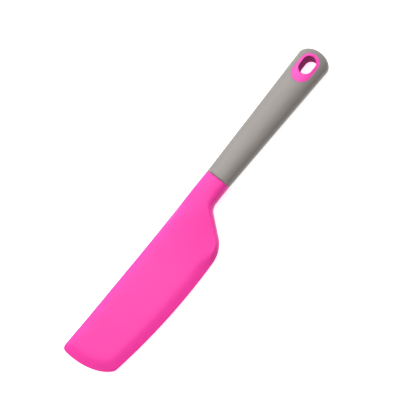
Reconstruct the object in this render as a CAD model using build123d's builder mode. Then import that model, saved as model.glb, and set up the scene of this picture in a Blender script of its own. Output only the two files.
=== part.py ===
"""Offset spatula: silicone blade moulded over a nylon plate, in a soft-touch handle.

The tool lies flat on its back. +X runs from the handle to the tip, +Y to the side the blade
steps out to, and +Z up from the flat back. The origin is the bottom centre of the whole tool.
"""
import os
from math import cos, pi, sin

from build123d import *

os.makedirs("parts", exist_ok=True)

# ---- whole tool -------------------------------------------------------------------------
TOTAL_LENGTH = 320.0  # estimated from the usual size of an icing spatula
END_X = -TOTAL_LENGTH / 2  # end of the handle
TIP_X = TOTAL_LENGTH / 2
AXIS_Y = -12.9  # the handle's centreline

# ---- handle -----------------------------------------------------------------------------
CAP_HALF_WIDTH = 14.6  # the widest part of the grip, where the rounded end starts
CAP_SWEEP = 10.3  # how far the rounded end reaches beyond it
CAP_X = END_X + CAP_SWEEP
CAP_HEIGHT = 15.6
HANDLE_LENGTH = 133.9
COLLAR_X = END_X + HANDLE_LENGTH
COLLAR_HALF_WIDTH = 11.4
COLLAR_HEIGHT = 14.0
SQUARENESS = 2.4  # exponent of the grip's section: 2 is an ellipse
SECTION_STEPS = 12  # points along half of a section
GRIP_WALL = 2.2

# ---- eye in the handle ------------------------------------------------------------------
HOLE_LENGTH = 16.1
HOLE_WIDTH = 11.2
HOLE_X = END_X + 16.0
LINER_LENGTH = 27.0
LINER_WIDTH = 17.1
LINER_X = END_X + 18.9
SLEEVE_WALL = 1.5
FLANGE_DEPTH = 3.4  # thickness of the liner's outer part at the mid-line
FRONT_SEAT = CAP_HEIGHT - FLANGE_DEPTH
BACK_SEAT = FLANGE_DEPTH
MID_Z = CAP_HEIGHT / 2

# ---- blade ------------------------------------------------------------------------------
BLADE_HEIGHT = 5.2
EDGE_LOW = 1.2  # the thin rim runs between these two heights
EDGE_HIGH = 2.2
BEVEL = 8.0  # width of the soft bevel round the blade
LEFT_HALF_WIDTH = 13.8  # from the handle's centreline to the straight edge at the tip
TIP_SWEEP = 22.9  # semi-axes of the elliptical tip
TIP_HALF_WIDTH = 41.0
TIP_CENTRE_X = TIP_X - TIP_SWEEP
TIP_CENTRE_Y = AXIS_Y - 5.0
TIP_CORNER = 4.0
BELLY_CORNER = 6.0
BELLY_RADIUS = 550.0
BELLY_X = 56.6
BELLY_REACH = 40.4  # furthest the belly gets from the handle's centreline
HEEL_X = -4.9  # where the heel leaves the neck's side
HEEL_ANGLE = 50.5
SHOULDER_RADIUS = 26.0
NECK_RADIUS = 10.0
CORNER_MIN = 1.0  # smallest corner of an inset outline
NECK_START_X = -18.0  # the blade's slab starts inside the neck
TUCK = 2.0  # how far its start is tucked in on each side
TUCK_LENGTH = 26.0

# ---- neck: its sections along the tool, as x, reach to each side and height --------------
NECK_STATIONS = (
    (COLLAR_X, COLLAR_HALF_WIDTH, COLLAR_HALF_WIDTH, COLLAR_HEIGHT),
    (0.0, 11.6, 13.0, 13.2),
    (20.0, 11.8, 25.0, 11.0),
    (40.0, 12.1, 32.0, 8.4),
    (60.0, 12.4, 34.0, 6.2),
    (80.0, 12.6, 34.0, 4.6),
)

# ---- nylon core -------------------------------------------------------------------------
CORE_LOW = 1.6
CORE_HEIGHT = 2.0
CORE_INSET = 9.0
FLOW_HOLE_RADIUS = 3.0
FLOW_HOLES = ((45.0, 10.0), (75.0, -4.0), (75.0, 14.0), (105.0, 6.0), (125.0, -8.0))
NECK_CORE_WIDTH = 14.0
NECK_CORE_HEIGHT = 7.0
NECK_CORE_END_X = 30.0
TANG_WIDTH = 12.0
TANG_HEIGHT = 5.0
TANG_LENGTH = 70.0
TANG_Z = COLLAR_HEIGHT / 2

# ---- pins -------------------------------------------------------------------------------
PIN_RADIUS = 1.5
PIN_XS = (COLLAR_X - 20.0, COLLAR_X - 52.0)
PIN_LENGTH = 8.0


# ---- shared shapes ----------------------------------------------------------------------
def cross_plane(x):
    """The plane across the tool at x, with its own x along +Y and its own y along +Z."""
    return Plane(origin=(x, AXIS_Y, 0), x_dir=(0, 1, 0), z_dir=(1, 0, 0))


def section_points(half_width, height, bottom, side):
    """Points up one side of a superellipse that stands on z = bottom."""
    points = []
    for step in range(SECTION_STEPS + 1):
        angle = pi * step / SECTION_STEPS - pi / 2
        across = abs(cos(angle)) ** (2 / SQUARENESS)
        up = abs(sin(angle)) ** (2 / SQUARENESS)
        if step in (0, SECTION_STEPS):
            across = 0
        if angle < 0:
            up = -up
        points.append((side * half_width * across, bottom + height * (1 + up) / 2))
    return points


def section_side(half_width, height, bottom, side):
    """One side of the section as a curve, level at the bottom and at the top."""
    points = section_points(half_width, height, bottom, side)
    Spline(*points, tangents=((side, 0), (-side, 0)))


def section(x, half_width, height, bottom=0.0, shift=0.0):
    """A whole section on the plane across the tool at x, centred off the axis by the shift."""
    plane = cross_plane(x)
    plane.origin += (0, shift, 0)
    with BuildSketch(plane) as sketch:
        with BuildLine():
            section_side(half_width, height, bottom, 1)
            section_side(half_width, height, bottom, -1)
        make_face()
    return sketch.sketch


def handle_body(inset):
    """The tapered bar with its rounded end, all round smaller by the inset."""
    half_width = CAP_HALF_WIDTH - inset
    squash = (CAP_SWEEP - inset) / half_width
    height = CAP_HEIGHT - 2 * inset
    collar = section(COLLAR_X, COLLAR_HALF_WIDTH - inset, COLLAR_HEIGHT - 2 * inset, inset)
    widest = section(CAP_X, half_width, height, inset)
    with BuildPart() as cap:
        with BuildSketch(Plane(origin=(0, 0, 0), x_dir=(0, 1, 0), z_dir=(1, 0, 0))):
            with BuildLine():
                section_side(half_width, height, inset, 1)
                Line((0, inset), (0, inset + height))
            make_face()
        revolve(axis=Axis.Z, revolution_arc=180)
        scale(by=(squash, 1, 1))
    with BuildPart() as body:
        loft([collar, widest], ruled=True)
        add(cap.part.moved(Location((CAP_X, AXIS_Y, 0))))
    return body.part


def slot_block(x, length, width, low, high):
    """An upright block with a rounded-slot outline on the handle's centreline."""
    with BuildPart() as block:
        with BuildSketch(Plane.XY.offset(low)):
            with Locations((x, AXIS_Y)):
                SlotOverall(length, width)
        extrude(amount=high - low)
    return block.part


def left_edge_y(x):
    """Height of the blade's straight edge at x, which leans out a little to the tip."""
    lean = (LEFT_HALF_WIDTH - COLLAR_HALF_WIDTH) / (TIP_X - COLLAR_X)
    return AXIS_Y - COLLAR_HALF_WIDTH - lean * (x - COLLAR_X)


def blade_outline(height, inset, start_x):
    """The blade's outline on a level plane, all round smaller by the inset."""
    reach_x = TIP_X + BEVEL
    top_y = AXIS_Y + BELLY_REACH + BEVEL
    neck_y = AXIS_Y + COLLAR_HALF_WIDTH - inset
    slope = sin(HEEL_ANGLE * pi / 180) / cos(HEEL_ANGLE * pi / 180)
    heel_shift = inset / sin(HEEL_ANGLE * pi / 180)
    heel_x = HEEL_X + heel_shift - inset / slope
    heel_top_x = heel_x + (top_y - neck_y) / slope
    corners = [
        (start_x, left_edge_y(start_x) + inset + TUCK),
        (start_x + TUCK_LENGTH, left_edge_y(start_x + TUCK_LENGTH) + inset),
        (reach_x, left_edge_y(reach_x) + inset),
        (reach_x, top_y),
        (heel_top_x, top_y),
        (heel_x, neck_y),
        (start_x, neck_y - TUCK),
    ]
    with BuildSketch(Plane.XY.offset(height)) as outline:
        with BuildLine():
            Polyline(*corners, close=True)
        make_face()
        with Locations((BELLY_X, AXIS_Y + BELLY_REACH - BELLY_RADIUS)):
            Circle(BELLY_RADIUS - inset, mode=Mode.INTERSECT)
        with BuildSketch(mode=Mode.INTERSECT):
            with Locations((TIP_CENTRE_X, TIP_CENTRE_Y)):
                Rectangle(TOTAL_LENGTH, TOTAL_LENGTH, align=(Align.MAX, Align.CENTER))
                Ellipse(TIP_SWEEP - inset, TIP_HALF_WIDTH - inset)
        tip_corner = outline.vertices().sort_by_distance((TIP_X, left_edge_y(TIP_X), height))[0]
        fillet(tip_corner, max(TIP_CORNER - inset, CORNER_MIN))
        belly_corner = outline.vertices().sort_by_distance((TIP_X, top_y, height))[0]
        fillet(belly_corner, max(BELLY_CORNER - inset, CORNER_MIN))
        neck_corner = outline.vertices().sort_by_distance((heel_x, neck_y, height))[0]
        fillet(neck_corner, NECK_RADIUS + inset)
        shoulder = outline.vertices().sort_by_distance((heel_top_x, top_y, height))[0]
        fillet(shoulder, SHOULDER_RADIUS - inset)
    return outline.sketch


def blade_slab(low, low_inset, high, high_inset, start_x):
    """The part of the blade between two level outlines."""
    with BuildPart() as slab:
        loft([blade_outline(low, low_inset, start_x), blade_outline(high, high_inset, start_x)],
             ruled=True)
    return slab.part


# ---- handle core: the hard bar inside the grip ------------------------------------------
OUTSIDE = handle_body(0)
FRONT_FLANGE = slot_block(LINER_X, LINER_LENGTH, LINER_WIDTH, FRONT_SEAT, CAP_HEIGHT)
BACK_FLANGE = slot_block(LINER_X, LINER_LENGTH, LINER_WIDTH, 0, BACK_SEAT)
SLEEVE = slot_block(HOLE_X, HOLE_LENGTH + 2 * SLEEVE_WALL, HOLE_WIDTH + 2 * SLEEVE_WALL, 0, CAP_HEIGHT)
HOLE = slot_block(HOLE_X, HOLE_LENGTH, HOLE_WIDTH, 0, CAP_HEIGHT)


def tang_bar():
    """The flat bar of the nylon core that runs into the handle."""
    with BuildPart() as bar:
        with Locations((COLLAR_X, AXIS_Y, TANG_Z)):
            Box(TANG_LENGTH, TANG_WIDTH, TANG_HEIGHT, align=(Align.MAX, Align.CENTER, Align.CENTER))
    return bar.part


with BuildPart() as tang_pins:
    for pin_x in PIN_XS:
        with Locations((pin_x, AXIS_Y, TANG_Z)):
            Cylinder(PIN_RADIUS, PIN_LENGTH)
tang_pins.part.label = "tang_pins"

with BuildPart() as handle_core:
    add(handle_body(GRIP_WALL))
    add(FRONT_FLANGE, mode=Mode.SUBTRACT)
    add(BACK_FLANGE, mode=Mode.SUBTRACT)
    add(SLEEVE, mode=Mode.SUBTRACT)
    add(tang_bar(), mode=Mode.SUBTRACT)
    add(tang_pins.part, mode=Mode.SUBTRACT)
handle_core.part.label = "handle_core"

# ---- handle grip: the soft skin over the core -------------------------------------------
with BuildPart() as handle_grip:
    add(OUTSIDE)
    add(handle_body(GRIP_WALL), mode=Mode.SUBTRACT)
    add(FRONT_FLANGE, mode=Mode.SUBTRACT)
    add(BACK_FLANGE, mode=Mode.SUBTRACT)
handle_grip.part.label = "handle_grip"

# ---- eye liners: a flange flush with the grip and a sleeve to mid-thickness ----------------
def eye_liner(flange, low, high):
    """The flange and the sleeve between two heights, with the hole through them."""
    with BuildPart() as liner:
        add(OUTSIDE)
        add(flange, mode=Mode.INTERSECT)
        add(slot_block(HOLE_X, HOLE_LENGTH + 2 * SLEEVE_WALL, HOLE_WIDTH + 2 * SLEEVE_WALL, low, high))
        add(HOLE, mode=Mode.SUBTRACT)
    return liner.part


with BuildPart() as hang_eye_front:
    add(eye_liner(FRONT_FLANGE, MID_Z, FRONT_SEAT))
hang_eye_front.part.label = "hang_eye_front"

with BuildPart() as hang_eye_back:
    add(eye_liner(BACK_FLANGE, BACK_SEAT, MID_Z))
hang_eye_back.part.label = "hang_eye_back"

# ---- blade core: nylon plate, neck and tang -----------------------------------------------
with BuildPart() as blade_core:
    add(blade_outline(CORE_LOW, CORE_INSET, NECK_START_X))
    extrude(amount=CORE_HEIGHT)
    with Locations([(x, y, CORE_LOW) for x, y in FLOW_HOLES]):
        Cylinder(FLOW_HOLE_RADIUS, BLADE_HEIGHT * 2, mode=Mode.SUBTRACT)
    with BuildSketch(cross_plane(COLLAR_X)) as neck_root:
        with Locations((0, TANG_Z)):
            Rectangle(NECK_CORE_WIDTH, NECK_CORE_HEIGHT)
    with BuildSketch(cross_plane(NECK_CORE_END_X)) as neck_tip:
        with Locations((0, CORE_LOW + CORE_HEIGHT / 2)):
            Rectangle(NECK_CORE_WIDTH, CORE_HEIGHT)
    loft([neck_root.sketch, neck_tip.sketch], ruled=True)
    add(tang_bar())
    add(tang_pins.part, mode=Mode.SUBTRACT)
blade_core.part.label = "blade_core"

# ---- blade skin: silicone over the plate, with the neck's sleeve --------------------------
with BuildPart() as blade_skin:
    add(blade_slab(0, BEVEL, EDGE_LOW, 0, NECK_START_X))
    add(blade_slab(EDGE_LOW, 0, EDGE_HIGH, 0, NECK_START_X))
    add(blade_slab(EDGE_HIGH, 0, BLADE_HEIGHT, BEVEL, NECK_START_X))
    loft([
        section(x, (left + right) / 2, height, shift=(right - left) / 2)
        for x, left, right, height in NECK_STATIONS
    ])
    add(blade_core.part, mode=Mode.SUBTRACT)
blade_skin.part.label = "blade_skin"

for piece in (blade_skin, blade_core, handle_grip, handle_core, tang_pins, hang_eye_front, hang_eye_back):
    export_step(piece.part, f"parts/{piece.part.label}.step")
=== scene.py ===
"""Offset spatula: the looks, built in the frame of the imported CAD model.

Lengths are millimetres until a mesh is written, which is in metres. Lights, floor and
camera are in metres.
"""
import math

import bmesh
import bpy
import numpy as np
from mathutils import Matrix, Vector
from mathutils.geometry import delaunay_2d_cdt


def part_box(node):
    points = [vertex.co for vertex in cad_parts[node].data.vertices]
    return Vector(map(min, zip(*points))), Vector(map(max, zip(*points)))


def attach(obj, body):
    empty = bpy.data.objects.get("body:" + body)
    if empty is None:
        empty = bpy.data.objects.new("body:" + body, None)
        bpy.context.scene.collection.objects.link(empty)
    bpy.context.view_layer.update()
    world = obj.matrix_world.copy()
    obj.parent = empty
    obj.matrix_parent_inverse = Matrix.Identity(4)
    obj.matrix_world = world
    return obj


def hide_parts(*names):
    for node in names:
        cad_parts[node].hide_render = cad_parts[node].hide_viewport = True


MM = 0.001

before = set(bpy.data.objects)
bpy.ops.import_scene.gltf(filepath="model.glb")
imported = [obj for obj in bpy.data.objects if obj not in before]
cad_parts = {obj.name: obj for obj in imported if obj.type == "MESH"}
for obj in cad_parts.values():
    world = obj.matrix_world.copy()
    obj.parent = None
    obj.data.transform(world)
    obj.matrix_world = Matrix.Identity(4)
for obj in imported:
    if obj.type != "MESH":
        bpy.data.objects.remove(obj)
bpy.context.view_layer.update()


def box_mm(node):
    """Lowest and highest corners of a CAD node in millimetres."""
    low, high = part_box(node)
    return np.array(low) / MM, np.array(high) / MM


grip_low, grip_high = box_mm("handle_grip")
skin_low, skin_high = box_mm("blade_skin")
eye_low, eye_high = box_mm("hang_eye_front")

# ---- sizes of the CAD, with outlines refined by a few tenths of a millimetre -----------------
AXIS_Y = (grip_low[1] + grip_high[1]) / 2
END_X = grip_low[0]
COLLAR_X = grip_high[0]
TIP_X = skin_high[0]
CAP_HALF_WIDTH = (grip_high[1] - grip_low[1]) / 2
CAP_SWEEP = 10.3
CAP_X = END_X + CAP_SWEEP
CAP_HEIGHT = 15.6
COLLAR_HALF_WIDTH = 11.4
COLLAR_HEIGHT = 14.0
SQUARENESS = 2.4

BLADE_HEIGHT = 5.2
LEFT_HALF_WIDTH = 12.2
LEFT_LEAN = 0.008
LEFT_EASE_X = 30.0
FLARE = 0.35  # the straight edge leans out a little more near the tip
FLARE_X = 125.0
TIP_SWEEP = 22.9
TIP_HALF_WIDTH = 41.0
TIP_CENTRE_Y = AXIS_Y - 5.0
TIP_CORNER = 4.3
BELLY_CORNER = 7.0
BELLY_RADIUS = 550.0
BELLY_X = 56.5
BELLY_REACH = 40.4
HEEL_X = -4.9
HEEL_ANGLE = math.radians(50.5)
SHOULDER_RADIUS = 27.0
NECK_RADIUS = 9.0

HOLE_LENGTH = 16.1
HOLE_WIDTH = 11.2
HOLE_X = END_X + 16.05
LINER_LENGTH = eye_high[0] - eye_low[0]
LINER_WIDTH = eye_high[1] - eye_low[1]
LINER_X = (eye_low[0] + eye_high[0]) / 2
SLEEVE_WALL = 1.5
FLANGE_DEPTH = 3.4

# ---- detail that only the looks have --------------------------------------------------------
BEVEL = 8.0
LEFT_BEVEL = 5.2  # the straight edge has a narrower bevel
HEEL_BEVEL = 1.5  # and so has the heel
HEEL_BEVEL_X = (14.0, 44.0)  # where the heel's bevel widens to the belly's
NECK_BEVEL_X = (-16.0, 4.0)  # where the neck's right side narrows to the heel's bevel
NECK_X = (-10.0, 20.0)  # where the round neck turns into the bevelled blade
BEVEL_BLEND = 0.25
EDGE_SHARE = 0.12  # what is left of the thickness at the rim
EDGE_ROUND = 0.08
ROOT_X = (COLLAR_X - 12.0, 62.0)  # where the neck's height falls to the blade's
ROOT_SPREAD = 31.0
ROOT_SPREAD_X = (-14.0, 8.0)
WAIST = 0.5  # height of the widest line, as a share of the section's height
BLADE_WAIST = 0.4
NECK_GAP = 0.02
GRIP_GAP = 0.32
NECK_CHAMFER = 0.08
GRIP_CHAMFER = 0.15
EYE_CLEARANCE = 0.03
EYE_CHAMFER = 0.12
LIP_RADIUS = 1.0
LINER_GAP = 0.01  # from each liner to mid-thickness
WALL_STEEP = 0.45  # the painted shade on the hole's wall goes where a normal's rise is under this
WALL_NEAR = 0.25

# ---- fineness of the meshes -----------------------------------------------------------------
EDGE_STEP = 1.4
TIP_STEP = 0.9
TIP_CORNER_STEP = 0.5
SHOULDER_STEP = 1.2
HEEL_STEP = 1.0
SMALL_ARC_STEP = 0.6
GRIP_STEP = 1.6
CAP_STEP = 0.8
TIP_SAMPLES = 4001
SAME_POINT = 0.05
JOINT_STEPS = np.array([0.0, 0.1, 0.2, 0.3, 0.45, 0.7, 1.1, 1.8])
JOINT_REACH = 2.6
END_STEPS = 8
BLADE_FILL = (1.3, 0.7)  # the filled grid's step, and how far it stays from the edges
GRIP_FILL = (1.5, 0.6)
BLADE_RINGS = (2.0, 16, 0.45)
GRIP_RINGS = (SQUARENESS, 26, 0.31)
RELAX_ROUNDS = 10
SLOT_ARC_STEPS = 40
SLOT_SIDE_STEPS = 9
EYE_COLLAR = 0.5
FACE_SHARES = np.linspace(0.06, 1, 9)
LIP_ANGLES = np.linspace(0, math.pi / 2, 8)[1:]
WALL_SHARES = (0.15, 0.5, 1.0)
WELD_DISTANCE = 1e-7


# ---- small helpers --------------------------------------------------------------------------
def smooth_step(value, low, high):
    t = np.clip((value - low) / (high - low), 0.0, 1.0)
    return t * t * (3 - 2 * t)


def dome(t, squareness):
    """Height of a superellipse, 0 at its rim (t = 0) and 1 on its crown (t = 1)."""
    t = np.clip(t, 0.0, 1.0)
    return (1 - (1 - t) ** squareness) ** (1 / squareness)


def dome_steps(squareness, count, last):
    """Values of t that follow the superellipse evenly, from the rim up to the last one."""
    angles = np.arange(1, count) * (math.pi / 2) / count
    steps = 1 - np.cos(angles) ** (2 / squareness)
    return steps[steps <= last]


def spread(length, step, fine_start=False, fine_end=False):
    """Distances along a run, with finer steps next to an end that meets another piece."""
    marks = np.linspace(0, length, max(2, int(round(length / step)) + 1))
    if fine_start:
        marks = np.concatenate([JOINT_STEPS, marks[marks > JOINT_REACH]])
    if fine_end:
        marks = np.concatenate([marks[marks < length - JOINT_REACH], length - JOINT_STEPS[::-1]])
    return marks


def strip(first, second, count, closed=False):
    """Quads between two rows of points, which start at the two given indices."""
    faces = []
    for i in range(count if closed else count - 1):
        j = (i + 1) % count
        faces.append((first + i, first + j, second + j, second + i))
    return faces


def underside(faces, rim_count, offset):
    """The same faces on the lower side, which shares the rim's points."""
    return [tuple(v if v < rim_count else v + offset for v in reversed(f)) for f in faces]


def build_mesh(name, points, faces):
    """A mesh object from points in millimetres, welded, facing outwards and smooth."""
    mesh = bpy.data.meshes.new(name)
    mesh.from_pydata([tuple(p) for p in np.asarray(points) * MM], [], faces)
    mesh.validate()
    bm = bmesh.new()
    bm.from_mesh(mesh)
    bmesh.ops.remove_doubles(bm, verts=bm.verts, dist=WELD_DISTANCE)
    bmesh.ops.holes_fill(bm, edges=[e for e in bm.edges if e.is_boundary], sides=0)
    bmesh.ops.triangulate(bm, faces=[f for f in bm.faces if len(f.verts) > 4])
    bmesh.ops.recalc_face_normals(bm, faces=bm.faces)
    bm.to_mesh(mesh)
    bm.free()
    for polygon in mesh.polygons:
        polygon.use_smooth = True
    piece = bpy.data.objects.new(name, mesh)
    bpy.context.scene.collection.objects.link(piece)
    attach(piece, "root")
    return piece


def path_distance(points, path):
    """Distance from each point to an open path."""
    start = path[:-1]
    run = path[1:] - start
    length2 = (run ** 2).sum(1)
    best = np.full(len(points), np.inf)
    for s, r, l2 in zip(start, run, length2):
        rel = points - s
        t = np.clip(rel @ r / l2, 0, 1)
        best = np.minimum(best, ((rel - t[:, None] * r) ** 2).sum(1))
    return np.sqrt(best)


def inside(points, loop):
    """Which points lie inside a closed loop."""
    x, y = points[:, 0], points[:, 1]
    hit = np.zeros(len(points), bool)
    for (x0, y0), (x1, y1) in zip(loop, np.roll(loop, -1, axis=0)):
        if y0 == y1:
            continue
        crosses = (y0 > y) != (y1 > y)
        hit ^= crosses & (x < (x1 - x0) * (y - y0) / (y1 - y0) + x0)
    return hit


def hex_points(low, high, step):
    """A hexagonal grid of points over a rectangle."""
    rows = np.arange(low[1], high[1], step * 0.866)
    points = []
    for k, y in enumerate(rows):
        xs = np.arange(low[0] + (k % 2) * step / 2, high[0], step)
        points.append(np.stack([xs, np.full(len(xs), y)], 1))
    return np.concatenate(points)


def fill_region(loop, holes, step, margin):
    """Triangles inside a loop and outside the holes.

    Gives the loop's points, the holes' points and the grid's points, in that order, and the
    triangles over them.
    """
    grid = hex_points(loop.min(0), loop.max(0), step)
    keep = inside(grid, loop) & (path_distance(grid, np.vstack([loop, loop[:1]])) > margin)
    for hole in holes:
        keep &= ~inside(grid, hole)
        keep &= path_distance(grid, np.vstack([hole, hole[:1]])) > margin
    loops = [loop] + list(holes)
    points = np.vstack(loops + [grid[keep]])
    edges = []
    start = 0
    for ring in loops:
        n = len(ring)
        edges += [(start + i, start + (i + 1) % n) for i in range(n)]
        start += n
    result = delaunay_2d_cdt([Vector(p) for p in points], edges, [], 1, WELD_DISTANCE)
    origin = [ids[0] for ids in result[3]]
    faces = [tuple(origin[v] for v in f) for f in result[2]]
    centres = np.array([points[list(f)].mean(0) for f in faces])
    good = inside(centres, loop)
    for hole in holes:
        good &= ~inside(centres, hole)
    return points, [f for f, ok in zip(faces, good) if ok]


# ---- outlines -------------------------------------------------------------------------------
def left_edge_y(x):
    """The straight edge, which eases in to the neck."""
    ease = LEFT_HALF_WIDTH + LEFT_LEAN * COLLAR_X - COLLAR_HALF_WIDTH
    eased = ease * (1 - smooth_step(x, COLLAR_X, LEFT_EASE_X))
    flare = FLARE * smooth_step(x, FLARE_X, TIP_X)
    return AXIS_Y - LEFT_HALF_WIDTH - LEFT_LEAN * x + (eased - flare)


def arc(centre, radius, start, end, step):
    count = max(3, int(abs(end - start) * radius / step))
    angles = np.linspace(start, end, count + 1)
    return np.array(centre) + radius * np.stack([np.cos(angles), np.sin(angles)], 1)


def heading(vector):
    return math.atan2(vector[1], vector[0])


def tip_curve():
    """The elliptical tip from its low end to its high end, with its inward normals."""
    angles = np.linspace(-math.pi / 2, math.pi / 2, TIP_SAMPLES)
    over, up = np.cos(angles), np.sin(angles)
    points = np.stack([TIP_X - TIP_SWEEP * (1 - over), TIP_CENTRE_Y + TIP_HALF_WIDTH * up], 1)
    normals = -np.stack([over / TIP_SWEEP, up / TIP_HALF_WIDTH], 1)
    return points, normals / np.linalg.norm(normals, axis=1)[:, None]


def blade_path():
    """The blade's rim from the collar, along the straight edge, round the tip and back."""
    start_x = COLLAR_X + NECK_GAP
    tip, tip_in = tip_curve()
    # the rounded corner between the straight edge and the tip
    edge_in = np.array([LEFT_LEAN, 1.0]) / math.hypot(LEFT_LEAN, 1.0)
    centres = tip + TIP_CORNER * tip_in
    first = np.argmax((centres - (TIP_X, left_edge_y(TIP_X))) @ edge_in > TIP_CORNER)
    corner = centres[first]
    # the rounded corner between the tip and the belly
    belly_centre = np.array([BELLY_X, AXIS_Y + BELLY_REACH - BELLY_RADIUS])
    centres = tip + BELLY_CORNER * tip_in
    reach = np.linalg.norm(centres - belly_centre, axis=1)
    last = first + np.argmax(reach[first:] > BELLY_RADIUS - BELLY_CORNER)
    belly_corner = centres[last]
    # the shoulder, tangent to the belly and to the heel's line
    heel = np.array([math.cos(HEEL_ANGLE), math.sin(HEEL_ANGLE)])
    heel_in = np.array([heel[1], -heel[0]])
    heel_point = np.array([HEEL_X, AXIS_Y + COLLAR_HALF_WIDTH])
    base = heel_point + SHOULDER_RADIUS * heel_in - belly_centre
    half_b = base @ heel
    rest = base @ base - (BELLY_RADIUS - SHOULDER_RADIUS) ** 2
    along = -half_b + math.sqrt(half_b ** 2 - rest)
    shoulder = belly_centre + base + along * heel
    # the hollow between the heel and the neck's side
    cut = NECK_RADIUS * math.tan(HEEL_ANGLE / 2)
    neck_centre = heel_point + np.array([-cut, NECK_RADIUS])
    heel_foot = heel_point + cut * heel
    heel_head = shoulder - SHOULDER_RADIUS * heel_in
    # the runs between them
    edge_end = corner - TIP_CORNER * edge_in
    run = spread(edge_end[0] - start_x, EDGE_STEP, fine_start=True)
    straight = np.stack([start_x + run, left_edge_y(start_x + run)], 1)
    heel_count = int(np.linalg.norm(heel_head - heel_foot) / HEEL_STEP)
    heel_run = np.linspace(0, 1, max(2, heel_count))
    heel_line = heel_head + heel_run[:, None] * (heel_foot - heel_head)
    neck_run = spread(neck_centre[0] - start_x, EDGE_STEP, fine_end=True)
    neck_line = np.stack([neck_centre[0] - neck_run, np.full(len(neck_run), heel_point[1])], 1)
    tip_count = int(np.linalg.norm(tip[last] - tip[first]) / TIP_STEP)
    tip_line = tip[np.linspace(first, last, tip_count).astype(int)]
    belly_start = heading(belly_corner - belly_centre)
    belly_end = heading(shoulder - belly_centre)
    pieces = [
        straight,
        arc(corner, TIP_CORNER, heading(-edge_in), heading(-tip_in[first]), TIP_CORNER_STEP),
        tip_line,
        arc(belly_corner, BELLY_CORNER, heading(-tip_in[last]), belly_start, SMALL_ARC_STEP),
        arc(belly_centre, BELLY_RADIUS, belly_start, belly_end, EDGE_STEP),
        arc(shoulder, SHOULDER_RADIUS, belly_end, heading(-heel_in), SHOULDER_STEP),
        heel_line,
        arc(neck_centre, NECK_RADIUS, heading(heel_in), -math.pi / 2, SMALL_ARC_STEP),
        neck_line,
    ]
    path = [straight[0]]
    for point in np.vstack(pieces):
        if np.linalg.norm(point - path[-1]) > SAME_POINT:
            path.append(point)
    return np.array(path)


def path_normals(path):
    """Inward normals of a path that keeps the piece on its left."""
    back = path[1:-1] - path[:-2]
    ahead = path[2:] - path[1:-1]
    back_len = np.linalg.norm(back, axis=1)[:, None]
    ahead_len = np.linalg.norm(ahead, axis=1)[:, None]
    tangents = np.zeros_like(path)
    tangents[1:-1] = back / back_len * ahead_len + ahead / ahead_len * back_len
    tangents[0] = (1, 0)
    tangents[-1] = (-1, 0)
    tangents /= np.linalg.norm(tangents, axis=1)[:, None]
    return np.stack([-tangents[:, 1], tangents[:, 0]], 1)


def slot_loop(centre_x, length, width):
    """A slot on the handle's centreline, anticlockwise from the bottom of its right end."""
    radius = width / 2
    half = length / 2 - radius
    step = math.pi * radius / SLOT_ARC_STEPS
    right = arc((centre_x + half, AXIS_Y), radius, -math.pi / 2, math.pi / 2, step)
    left = arc((centre_x - half, AXIS_Y), radius, math.pi / 2, 3 * math.pi / 2, step)
    sides = np.linspace(0, 1, SLOT_SIDE_STEPS + 1)[1:-1, None]
    top = right[-1] + sides * (left[0] - right[-1])
    bottom = left[-1] + sides * (right[0] - left[-1])
    return np.vstack([right, top, left, bottom])


def close_end(ring):
    """A ring that ends at a joint, closed by a straight row of points across the joint."""
    return np.vstack([ring, np.linspace(ring[-1], ring[0], END_STEPS + 1)[1:-1]])


# ---- height fields --------------------------------------------------------------------------
def grip_t(x, y):
    """0 on the grip's outline, 1 on its ridge."""
    share = np.clip((COLLAR_X - x) / (COLLAR_X - CAP_X), 0, 1)
    half_width = COLLAR_HALF_WIDTH + (CAP_HALF_WIDTH - COLLAR_HALF_WIDTH) * share
    beyond = np.minimum(x - CAP_X, 0) * CAP_HALF_WIDTH / CAP_SWEEP
    radial = np.hypot(beyond, y - AXIS_Y)
    return 1 - radial / half_width


def grip_heights(x, y):
    """The grip's top and bottom."""
    share = np.clip((COLLAR_X - x) / (COLLAR_X - CAP_X), 0, 1)
    height = COLLAR_HEIGHT + (CAP_HEIGHT - COLLAR_HEIGHT) * share
    rise = dome(grip_t(x, y), SQUARENESS)
    return height * (WAIST + (1 - WAIST) * rise), height * WAIST * (1 - rise)


def neck_share(x):
    """1 at the collar, where the neck is round, and 0 along the blade."""
    return 1 - smooth_step(x, *NECK_X)


def left_bevel(x):
    return LEFT_BEVEL + (COLLAR_HALF_WIDTH - LEFT_BEVEL) * neck_share(x)


def right_bevel(x):
    width = HEEL_BEVEL + (BEVEL - HEEL_BEVEL) * smooth_step(x, *HEEL_BEVEL_X)
    return width + (COLLAR_HALF_WIDTH - width) * (1 - smooth_step(x, *NECK_BEVEL_X))


def chamfer(t):
    """A straight bevel with a rounded rim, which blends into the flat round t = 1."""
    start = 1 - BEVEL_BLEND
    bend = np.clip(t - start, 0, 2 * BEVEL_BLEND)
    slope = np.minimum(t, 1 + BEVEL_BLEND) - bend ** 2 / (4 * BEVEL_BLEND)
    rim = np.clip(t / EDGE_ROUND, 0, 1)
    return EDGE_SHARE * np.sqrt(1 - (1 - rim) ** 2) + (1 - EDGE_SHARE) * slope


def blade_rise(plan, path):
    """0 on the blade's rim and 1 on its flat, with a bevel of its own on the straight edge."""
    corner = np.argmax(path @ (1.0, -1.0))
    left = path_distance(plan, path[:corner + 1]) / left_bevel(plan[:, 0])
    rest = path_distance(plan, path[corner:]) / right_bevel(plan[:, 0])
    t = np.minimum(left, rest)
    round_share = neck_share(plan[:, 0])
    return round_share * dome(t, SQUARENESS) + (1 - round_share) * chamfer(t)


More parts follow.
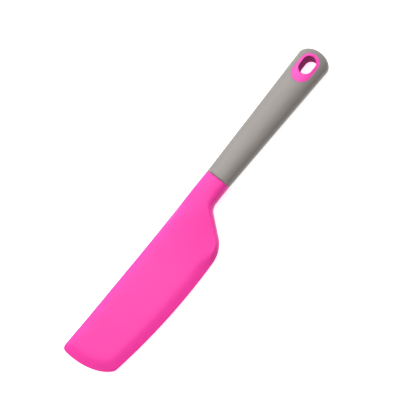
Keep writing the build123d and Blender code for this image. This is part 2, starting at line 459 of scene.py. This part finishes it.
def blade_height(x, y):
    """The blade's thickness, which swells towards the neck."""
    share = 1 - smooth_step(x, *ROOT_X)
    to_belly = np.maximum(y - AXIS_Y, 0)
    swell = share * np.exp(-((to_belly / ROOT_SPREAD) ** 2) * smooth_step(x, *ROOT_SPREAD_X))
    start = 1 - smooth_step(COLLAR_X, *ROOT_X)
    return BLADE_HEIGHT + (COLLAR_HEIGHT - BLADE_HEIGHT) * swell / start


def blade_waist(x):
    return BLADE_WAIST + (WAIST - BLADE_WAIST) * neck_share(x)


def relax(values, faces, first_free, rounds):
    """Averages a value with its neighbours' over the points from first_free on."""
    ends = set()
    for face in faces:
        for a, b in zip(face, face[1:] + face[:1]):
            ends.add((min(a, b), max(a, b)))
    ends = np.array(sorted(ends))
    free = np.arange(len(values)) >= first_free
    degree = np.zeros(len(values))
    np.add.at(degree, ends[:, 0], 1)
    np.add.at(degree, ends[:, 1], 1)
    degree[degree == 0] = 1
    for _ in range(rounds):
        total = np.zeros(len(values))
        np.add.at(total, ends[:, 0], values[ends[:, 1]])
        np.add.at(total, ends[:, 1], values[ends[:, 0]])
        values = np.where(free, 0.5 * values + 0.5 * total / degree, values)
    return values


def round_end(points, end_x, radius):
    """Rounds a piece down to its joint at end_x, towards the middle of its section."""
    gap = np.abs(points[:, 0] - end_x)
    drop = radius * (1 - np.sqrt(np.clip(1 - (1 - np.minimum(gap / radius, 1)) ** 2, 0, 1)))
    half = COLLAR_HEIGHT / 2
    points[:, 1] -= (points[:, 1] - AXIS_Y) / COLLAR_HALF_WIDTH * drop
    points[:, 2] -= (points[:, 2] - half) / half * drop
    return points


# ---- the blade ------------------------------------------------------------------------------
def make_blade():
    path = blade_path()
    count = len(path)
    normals = path_normals(path)
    widths = BEVEL + (COLLAR_HALF_WIDTH - BEVEL) * neck_share(path[:, 0])
    rings = [path]
    for t in dome_steps(*BLADE_RINGS):
        rings.append(path + (widths * t)[:, None] * normals)
    fill, fill_faces = fill_region(close_end(rings[-1]), [], *BLADE_FILL)
    plan = np.vstack(rings + [fill[count:]])
    base = (len(rings) - 1) * count
    fill_faces = [tuple(base + v for v in f) for f in fill_faces]
    faces = []
    for k in range(len(rings) - 1):
        faces += strip(k * count, (k + 1) * count, count)
    faces += fill_faces
    # the bevels' shape, eased where two of them meet
    rise = blade_rise(plan, path)
    rise[:count] = 0
    rise = relax(rise, fill_faces, base + count, RELAX_ROUNDS)
    height = blade_height(plan[:, 0], plan[:, 1])
    waist = blade_waist(plan[:, 0])
    top = np.column_stack([plan, height * (waist + (1 - waist) * rise)])
    bottom = np.column_stack([plan, height * waist * (1 - rise)])
    points = round_end(np.vstack([top, bottom]), COLLAR_X + NECK_GAP, NECK_CHAMFER)
    return build_mesh("blade_silicone", points, faces + underside(faces, count, len(plan)))


# ---- the grip -------------------------------------------------------------------------------
def grip_path():
    """The grip's rim from the collar round the handle's end and back."""
    start_x = COLLAR_X - GRIP_GAP
    xs = start_x - spread(start_x - CAP_X, GRIP_STEP, fine_start=True)
    slope = (CAP_HALF_WIDTH - COLLAR_HALF_WIDTH) / (COLLAR_X - CAP_X)
    widths = COLLAR_HALF_WIDTH + slope * (COLLAR_X - xs)
    near = np.stack([xs, AXIS_Y + widths], 1)
    cap = arc((0, 0), CAP_HALF_WIDTH, math.pi / 2, 3 * math.pi / 2, CAP_STEP)[1:-1]
    cap = cap * (CAP_SWEEP / CAP_HALF_WIDTH, 1) + (CAP_X, AXIS_Y)
    far = np.stack([xs[::-1], AXIS_Y - widths[::-1]], 1)
    return np.vstack([near, cap, far])


def make_grip():
    path = grip_path()
    count = len(path)
    feet = np.stack([np.maximum(path[:, 0], CAP_X), np.full(count, AXIS_Y)], 1)
    rings = [path] + [path + t * (feet - path) for t in dome_steps(*GRIP_RINGS)]
    loop = close_end(rings[-1])
    # the window for the eye, with a fine chamfer on its edge
    window = slot_loop(LINER_X, LINER_LENGTH, LINER_WIDTH)
    wide, brink = [
        slot_loop(LINER_X, LINER_LENGTH + 2 * grow, LINER_WIDTH + 2 * grow)
        for grow in (EYE_COLLAR, EYE_CHAMFER)
    ]
    fill, fill_faces = fill_region(loop, [wide], *GRIP_FILL)
    plan = np.vstack(rings + [fill[count:], brink, window])
    base = (len(rings) - 1) * count
    n = len(window)
    wide_start = base + len(loop)
    window_start = len(plan) - n
    brink_start = window_start - n
    faces = []
    for k in range(len(rings) - 1):
        faces += strip(k * count, (k + 1) * count, count)
    faces += [tuple(base + v for v in f) for f in fill_faces]
    faces += strip(wide_start, brink_start, n, closed=True)
    faces += strip(brink_start, window_start, n, closed=True)
    high, low = grip_heights(plan[:, 0], plan[:, 1])
    high[window_start:] -= EYE_CHAMFER
    low[window_start:] += EYE_CHAMFER
    points = np.vstack([np.column_stack([plan, high]), np.column_stack([plan, low])])
    points = round_end(points, COLLAR_X - GRIP_GAP, GRIP_CHAMFER)
    walls = strip(window_start, window_start + len(plan), n, closed=True)
    faces += underside(faces, count, len(plan)) + walls
    return build_mesh("handle_soft_grip", points, faces)


# ---- the liners of the eye ------------------------------------------------------------------
def make_liner(name, side):
    """One half of the eye's liner: side is 1 on the top face and -1 on the back."""
    shrink = 2 * EYE_CLEARANCE
    outer = slot_loop(LINER_X, LINER_LENGTH - shrink, LINER_WIDTH - shrink)
    hole = slot_loop(HOLE_X, HOLE_LENGTH, HOLE_WIDTH)
    sleeve = slot_loop(HOLE_X, HOLE_LENGTH + 2 * SLEEVE_WALL, HOLE_WIDTH + 2 * SLEEVE_WALL)
    middle = CAP_HEIGHT / 2
    meeting = middle + side * LINER_GAP
    seat = middle + side * (middle - FLANGE_DEPTH)

    def raised(plan, drop=0.0):
        """Points on the grip's surface, or below it by a drop."""
        high, low = grip_heights(plan[:, 0], plan[:, 1])
        return np.column_stack([plan, (high if side > 0 else low) - side * drop])

    def level(plan, z):
        return np.column_stack([plan, np.full(len(plan), z)])

    reach = np.linalg.norm(outer - hole, axis=1)
    away = (outer - hole) / reach[:, None]
    # the outer edge, with its fine chamfer
    rings = [raised(outer, EYE_CHAMFER), raised(outer - EYE_CHAMFER * away)]
    # across the face to the lip
    for share in FACE_SHARES:
        rings.append(raised(hole + away * (reach - share * (reach - LIP_RADIUS))[:, None]))
    # round the lip and down the wall
    for angle in LIP_ANGLES:
        plan = hole + away * (LIP_RADIUS * (1 - math.sin(angle)))
        rings.append(raised(plan, LIP_RADIUS * (1 - math.cos(angle))))
    lip = rings[-1]
    for share in WALL_SHARES:
        rings.append(np.column_stack([hole, lip[:, 2] + share * (meeting - lip[:, 2])]))
    # the hidden side, down the sleeve and under the flange
    rings += [level(sleeve, meeting), level(sleeve, seat), level(outer, seat)]
    n = len(hole)
    faces = []
    for k in range(len(rings)):
        faces += strip(k * n, (k + 1) % len(rings) * n, n, closed=True)
    return build_mesh(name, np.vstack(rings), faces)


def shade_hole_wall(piece, material):
    """Gives the hole's wall, below its lip, a second, darker material: painted shade down in the
    hole.
    """
    piece.data.materials.append(material)
    for polygon in piece.data.polygons:
        sideways = abs(polygon.normal.z) < WALL_STEEP
        rel = np.array(polygon.center) / MM - (HOLE_X, AXIS_Y, 0)
        over = max(abs(rel[0]) - (HOLE_LENGTH - HOLE_WIDTH) / 2, 0)
        if sideways and math.hypot(over, rel[1]) < HOLE_WIDTH / 2 + WALL_NEAR:
            polygon.material_index = 1


blade = make_blade()
grip = make_grip()
eye_front = make_liner("eye_liner_front", 1)
eye_back = make_liner("eye_liner_back", -1)
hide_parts("blade_skin")
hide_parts("handle_grip")
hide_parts("hang_eye_front")
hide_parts("hang_eye_back")

# ---- materials ------------------------------------------------------------------------------
CLOUD_SCALE = 38.0
CLOUD_RANGE = (0.3, 0.7)
POLISH_SPREAD = 0.06
RELIEF_DEPTH = 0.0001
SOFT_DEPTH = 0.002
SOFT_COLOUR = (1.0, 0.3, 0.6)


def moulded(name, colour, shade, roughness, grain, bump, sheen=0.0, soft=0.0, gloss=0.35):
    """A moulded surface: a fine grain, a faint cloudiness in its colour and in its gloss."""
    material = bpy.data.materials.new(name)
    material.use_nodes = True
    nodes = material.node_tree.nodes
    link = material.node_tree.links.new
    shader = nodes["Principled BSDF"]
    place = nodes.new("ShaderNodeTexCoord").outputs["Object"]
    cloud = nodes.new("ShaderNodeTexNoise")
    cloud.inputs["Scale"].default_value = CLOUD_SCALE
    cloud.inputs["Detail"].default_value = 4.0
    link(place, cloud.inputs["Vector"])
    ramp = nodes.new("ShaderNodeValToRGB")
    for stop, position, strength in zip(ramp.color_ramp.elements, CLOUD_RANGE, (shade, 1.0)):
        stop.position = position
        stop.color = (*[c * strength for c in colour], 1)
    link(cloud.outputs["Fac"], ramp.inputs["Fac"])
    link(ramp.outputs["Color"], shader.inputs["Base Color"])
    fine = nodes.new("ShaderNodeTexNoise")
    fine.inputs["Scale"].default_value = grain
    fine.inputs["Detail"].default_value = 3.0
    link(place, fine.inputs["Vector"])
    polish = nodes.new("ShaderNodeMapRange")
    polish.inputs["To Min"].default_value = roughness - POLISH_SPREAD
    polish.inputs["To Max"].default_value = roughness + POLISH_SPREAD
    link(fine.outputs["Fac"], polish.inputs["Value"])
    link(polish.outputs["Result"], shader.inputs["Roughness"])
    relief = nodes.new("ShaderNodeBump")
    relief.inputs["Strength"].default_value = bump
    relief.inputs["Distance"].default_value = RELIEF_DEPTH
    link(fine.outputs["Fac"], relief.inputs["Height"])
    link(relief.outputs["Normal"], shader.inputs["Normal"])
    shader.inputs["Sheen Weight"].default_value = sheen
    shader.inputs["Specular IOR Level"].default_value = gloss
    shader.inputs["Subsurface Weight"].default_value = soft
    if soft:
        shader.inputs["Subsurface Scale"].default_value = SOFT_DEPTH
        shader.inputs["Subsurface Radius"].default_value = SOFT_COLOUR
    return material


def dress(piece, material):
    piece.data.materials.clear()
    piece.data.materials.append(material)


pink_blade = moulded(
    "pink_silicone", (0.8, 0.025, 0.32), shade=0.96, roughness=0.6, grain=2600.0, bump=0.25,
    sheen=0.25, soft=0.1,
)
# painted light: the liner is its own piece, but its pink is a lighter copy of the blade's, made
# lighter because the eye is lit more
pink_eye_lightened = moulded(
    "pink_liner_painted_light", (0.82, 0.035, 0.38), shade=0.96, roughness=0.5, grain=2600.0, bump=0.25,
    sheen=0.2, soft=0.1,
)
# painted shade: a dark plum copy of the pink, put on the hole's wall for the shade down in the
# hole
hole_wall_shade = moulded(
    "hole_wall_painted_shade", (0.41, 0.058, 0.24), shade=0.9, roughness=0.8, grain=2600.0, bump=0.2,
    gloss=0.1,
)
grey_grip = moulded(
    "soft_grey", (0.213, 0.193, 0.179), shade=0.95, roughness=0.54, grain=3200.0, bump=0.35,
    sheen=0.08, gloss=0.5,
)
nylon = moulded(
    "black_nylon", (0.02, 0.02, 0.022), shade=0.8, roughness=0.5, grain=2000.0, bump=0.2,
)
hard_grey = moulded(
    "hard_grey", (0.12, 0.115, 0.11), shade=0.9, roughness=0.45, grain=2000.0, bump=0.15,
)
steel = moulded(
    "pin_steel", (0.55, 0.55, 0.56), shade=0.9, roughness=0.35, grain=4000.0, bump=0.1,
)
steel.node_tree.nodes["Principled BSDF"].inputs["Metallic"].default_value = 1.0

dress(blade, pink_blade)
dress(grip, grey_grip)
dress(eye_front, pink_eye_lightened)
dress(eye_back, pink_eye_lightened)
# the hole's wall below the lip gets the painted shade
shade_hole_wall(eye_front, hole_wall_shade)
shade_hole_wall(eye_back, hole_wall_shade)
for node, material in (("blade_core", nylon), ("handle_core", hard_grey), ("tang_pins", steel)):
    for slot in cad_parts[node].material_slots:
        slot.material = material

# ---- floor, light and camera ----------------------------------------------------------------
FLOOR_REACH = 3.0
FLOOR_Z = -0.0002
FLOOR_GLOW = 0.84  # the floor stays pale in the tool's shadow
WORLD_GLOW = 0.08
LAMPS = (  # name, place, aim, size, power
    ("key", (-0.3, -0.7, 1.3), (0, 0, 0), 1.0, 27.5),
    ("low", (0.0, -1.2, 1.0), (0, 0, 0), 1.0, 4.5),
    ("side", (-0.9, -0.8, 1.1), (0, 0, 0), 1.0, 2.5),
    ("fill", (0.08, -0.15, 0.35), (0.07, 0, 0), 0.2, 0.36),
    ("front", (0.9, -0.5, 0.8), (0, 0, 0), 0.8, 1.0),
)
PITCH = math.radians(4.0)
ROLL = math.radians(17.0)
TURN = math.radians(50.876)
AIM = Vector((-2.645, -3.85, 7.9)) * MM
DISTANCE = 0.9701
SENSOR_WIDTH = 36.0
LENS = 103.85


def make_floor():
    mesh = bpy.data.meshes.new("floor")
    corners = [(-1, -1), (1, -1), (1, 1), (-1, 1)]
    corners = [(FLOOR_REACH * x, FLOOR_REACH * y, FLOOR_Z) for x, y in corners]
    mesh.from_pydata(corners, [], [(0, 1, 2, 3)])
    floor = bpy.data.objects.new("floor", mesh)
    bpy.context.scene.collection.objects.link(floor)
    material = bpy.data.materials.new("pale_floor")
    material.use_nodes = True
    shader = material.node_tree.nodes["Principled BSDF"]
    shader.inputs["Base Color"].default_value = (0.9, 0.9, 0.9, 1)
    shader.inputs["Roughness"].default_value = 0.9
    shader.inputs["Emission Color"].default_value = (1, 1, 1, 1)
    shader.inputs["Emission Strength"].default_value = FLOOR_GLOW
    mesh.materials.append(material)


def add_area(name, place, aim, size, power):
    light = bpy.data.lights.new(name, "AREA")
    light.shape = "SQUARE"
    light.size = size
    light.energy = power
    lamp = bpy.data.objects.new(name, light)
    lamp.location = place
    lamp.rotation_euler = (Vector(aim) - Vector(place)).to_track_quat("-Z", "Y").to_euler()
    bpy.context.scene.collection.objects.link(lamp)


def make_world():
    world = bpy.data.worlds.new("studio")
    world.use_nodes = True
    background = world.node_tree.nodes["Background"]
    background.inputs["Color"].default_value = (1, 1, 1, 1)
    background.inputs["Strength"].default_value = WORLD_GLOW
    bpy.context.scene.world = world
    bpy.context.scene.view_settings.view_transform = "Standard"


def make_camera():
    back = Vector((math.tan(PITCH), math.tan(ROLL), 1)).normalized()
    along = (Vector((-1, 0, 0)) + back.x * back).normalized()
    side = back.cross(along)
    right = math.cos(TURN) * along - math.sin(TURN) * side
    up = math.sin(TURN) * along + math.cos(TURN) * side
    data = bpy.data.cameras.new("camera")
    data.sensor_width = SENSOR_WIDTH
    data.lens = LENS
    camera = bpy.data.objects.new("camera", data)
    place = Matrix((right, up, back)).transposed().to_4x4()
    place.translation = AIM + back * DISTANCE
    camera.matrix_world = place
    bpy.context.scene.collection.objects.link(camera)
    bpy.context.scene.camera = camera


make_floor()
for lamp in LAMPS:
    add_area(*lamp)
make_world()
make_camera()
